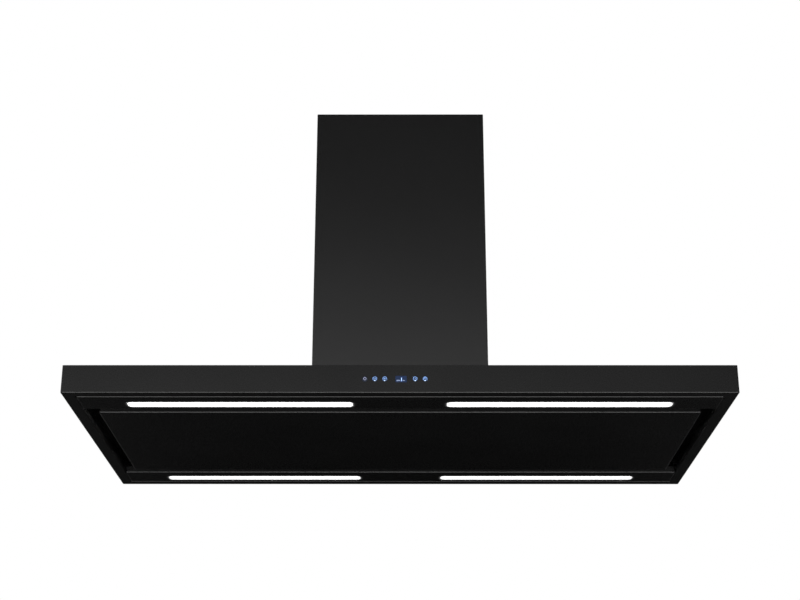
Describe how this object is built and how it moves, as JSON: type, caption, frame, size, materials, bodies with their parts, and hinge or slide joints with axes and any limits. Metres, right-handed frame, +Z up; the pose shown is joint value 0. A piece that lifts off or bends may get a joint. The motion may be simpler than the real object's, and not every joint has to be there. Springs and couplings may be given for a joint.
{
  "type": "chimney range hood",
  "caption": "Flat ceiling-hung island hood: wide shallow canopy with lit strips and a perimeter-suction panel below, and a telescoping rectangular chimney above.",
  "frame": {"origin": "centre of the canopy's underside, on the plane of its rim", "axes": "+X to the hood's right along its long side, -Y towards the front with the controls, +Z up along the chimney"},
  "size_m": [1.2, 0.65, 0.646],
  "materials": {
    "satin_black": "satin black powder coat",
    "black_steel": "black oxide",
    "zinc_steel": "galvanised sheet",
    "bright_steel": "zinc plated",
    "ferrite": "dull",
    "filter_aluminium": "mill finish",
    "filter_mesh": "expanded mesh",
    "black_plastic": "moulded",
    "grey_plastic": "moulded",
    "white_plastic": "moulded",
    "lamp_aluminium": "anodised",
    "board_white": "solder mask",
    "board_green": "solder mask",
    "button_black": "backlit symbol",
    "motor_steel": "pressed case",
    "rubber": "matte",
    "lamp_diffuser": "frosted, lit from behind",
    "display_glass": "smoked window, blue numeral lit behind it"
  },
  "bodies": {
    "hood": {"base_bolts": "bright_steel", "base_frame": "zinc_steel", "blower_housing_left": "grey_plastic", "blower_housing_right": "grey_plastic", "blower_supports": "zinc_steel", "cable_gland": "white_plastic", "canopy_shell": "satin_black", "catch_magnets": "ferrite", "centre_panel_brackets": "zinc_steel", "chimney_front": "satin_black", "chimney_rear": "satin_black", "chimney_screws": "black_steel", "chimney_seam_strips": "zinc_steel", "control_board": "board_green", "control_housing": "black_plastic", "control_screws": "bright_steel", "damper_pin": "bright_steel", "display_window": "display_glass", "electronics_box": "white_plastic", "electronics_lid": "white_plastic", "filter_frames": "filter_aluminium", "filter_meshes": "filter_mesh", "filter_plenum": "satin_black", "frame_straps": "zinc_steel", "hinge_pins": "bright_steel", "lamp_boards": "board_white", "lamp_diffusers_front": "lamp_diffuser", "lamp_diffusers_rear": "lamp_diffuser", "lamp_driver": "white_plastic", "lamp_housings": "lamp_aluminium", "light_panel_brackets": "zinc_steel", "light_panel_front": "satin_black", "light_panel_rear": "satin_black", "lower_posts": "zinc_steel", "motor": "motor_steel", "motor_spider": "zinc_steel", "outlet_collar": "grey_plastic", "post_bolts": "bright_steel", "power_board": "board_green", "support_bushes": "rubber"},
    "chimney_top": {"upper_posts": "zinc_steel", "ceiling_plate": "zinc_steel", "cable_grommet": "rubber", "chimney_extension": "satin_black", "extension_screws": "black_steel"},
    "centre_panel": {"centre_panel": "satin_black", "centre_panel_stiffeners": "zinc_steel", "hinge_leaves": "zinc_steel"},
    "latch_left": {"filter_latch_left": "black_plastic"},
    "latch_middle": {"filter_latch_middle": "black_plastic"},
    "latch_right": {"filter_latch_right": "black_plastic"},
    "button_power": {"button_power": "button_black"},
    "button_minus": {"button_minus": "button_black"},
    "button_plus": {"button_plus": "button_black"},
    "button_timer": {"button_timer": "button_black"},
    "button_light": {"button_light": "button_black"},
    "blower_wheel": {"impeller": "black_plastic", "motor_shaft": "bright_steel"},
    "flap_left": {"damper_flap_left": "black_plastic"},
    "flap_right": {"damper_flap_right": "black_plastic"}
  },
  "joints": [
    {"name": "chimney_lift", "type": "slide", "parent": "hood", "child": "chimney_top", "axis": [0, 0, 1], "range_m": [0, 0.3]},
    {"name": "centre_panel_hinge", "type": "hinge", "parent": "hood", "child": "centre_panel", "pos_m": [0, 0.196, 0.018], "axis": [1, 0, 0], "range_deg": [0, 90]},
    {"name": "blower_spin", "type": "hinge", "parent": "hood", "child": "blower_wheel", "pos_m": [0, -0.056, 0.1575], "axis": [1, 0, 0], "continuous": true},
    {"name": "flap_left_hinge", "type": "hinge", "parent": "hood", "child": "flap_left", "pos_m": [0, 0, 0.3234], "axis": [0, 1, 0], "range_deg": [0, 75]},
    {"name": "flap_right_hinge", "type": "hinge", "parent": "hood", "child": "flap_right", "pos_m": [0, 0, 0.3234], "axis": [0, -1, 0], "range_deg": [0, 75]},
    {"name": "latch_left_slide", "type": "slide", "parent": "hood", "child": "latch_left", "axis": [0, 1, 0], "range_m": [0, 0.005], "stiffness_N_per_m": 300, "springref_m": -0.004},
    {"name": "latch_middle_slide", "type": "slide", "parent": "hood", "child": "latch_middle", "axis": [0, 1, 0], "range_m": [0, 0.005], "stiffness_N_per_m": 300, "springref_m": -0.004},
    {"name": "latch_right_slide", "type": "slide", "parent": "hood", "child": "latch_right", "axis": [0, 1, 0], "range_m": [0, 0.005], "stiffness_N_per_m": 300, "springref_m": -0.004},
    {"name": "button_power_press", "type": "slide", "parent": "hood", "child": "button_power", "axis": [0, 1, 0], "range_m": [0, 0.0008], "stiffness_N_per_m": 900, "springref_m": -0.0006},
    {"name": "button_minus_press", "type": "slide", "parent": "hood", "child": "button_minus", "axis": [0, 1, 0], "range_m": [0, 0.0008], "stiffness_N_per_m": 900, "springref_m": -0.0006},
    {"name": "button_plus_press", "type": "slide", "parent": "hood", "child": "button_plus", "axis": [0, 1, 0], "range_m": [0, 0.0008], "stiffness_N_per_m": 900, "springref_m": -0.0006},
    {"name": "button_timer_press", "type": "slide", "parent": "hood", "child": "button_timer", "axis": [0, 1, 0], "range_m": [0, 0.0008], "stiffness_N_per_m": 900, "springref_m": -0.0006},
    {"name": "button_light_press", "type": "slide", "parent": "hood", "child": "button_light", "axis": [0, 1, 0], "range_m": [0, 0.0008], "stiffness_N_per_m": 900, "springref_m": -0.0006}
  ]
}
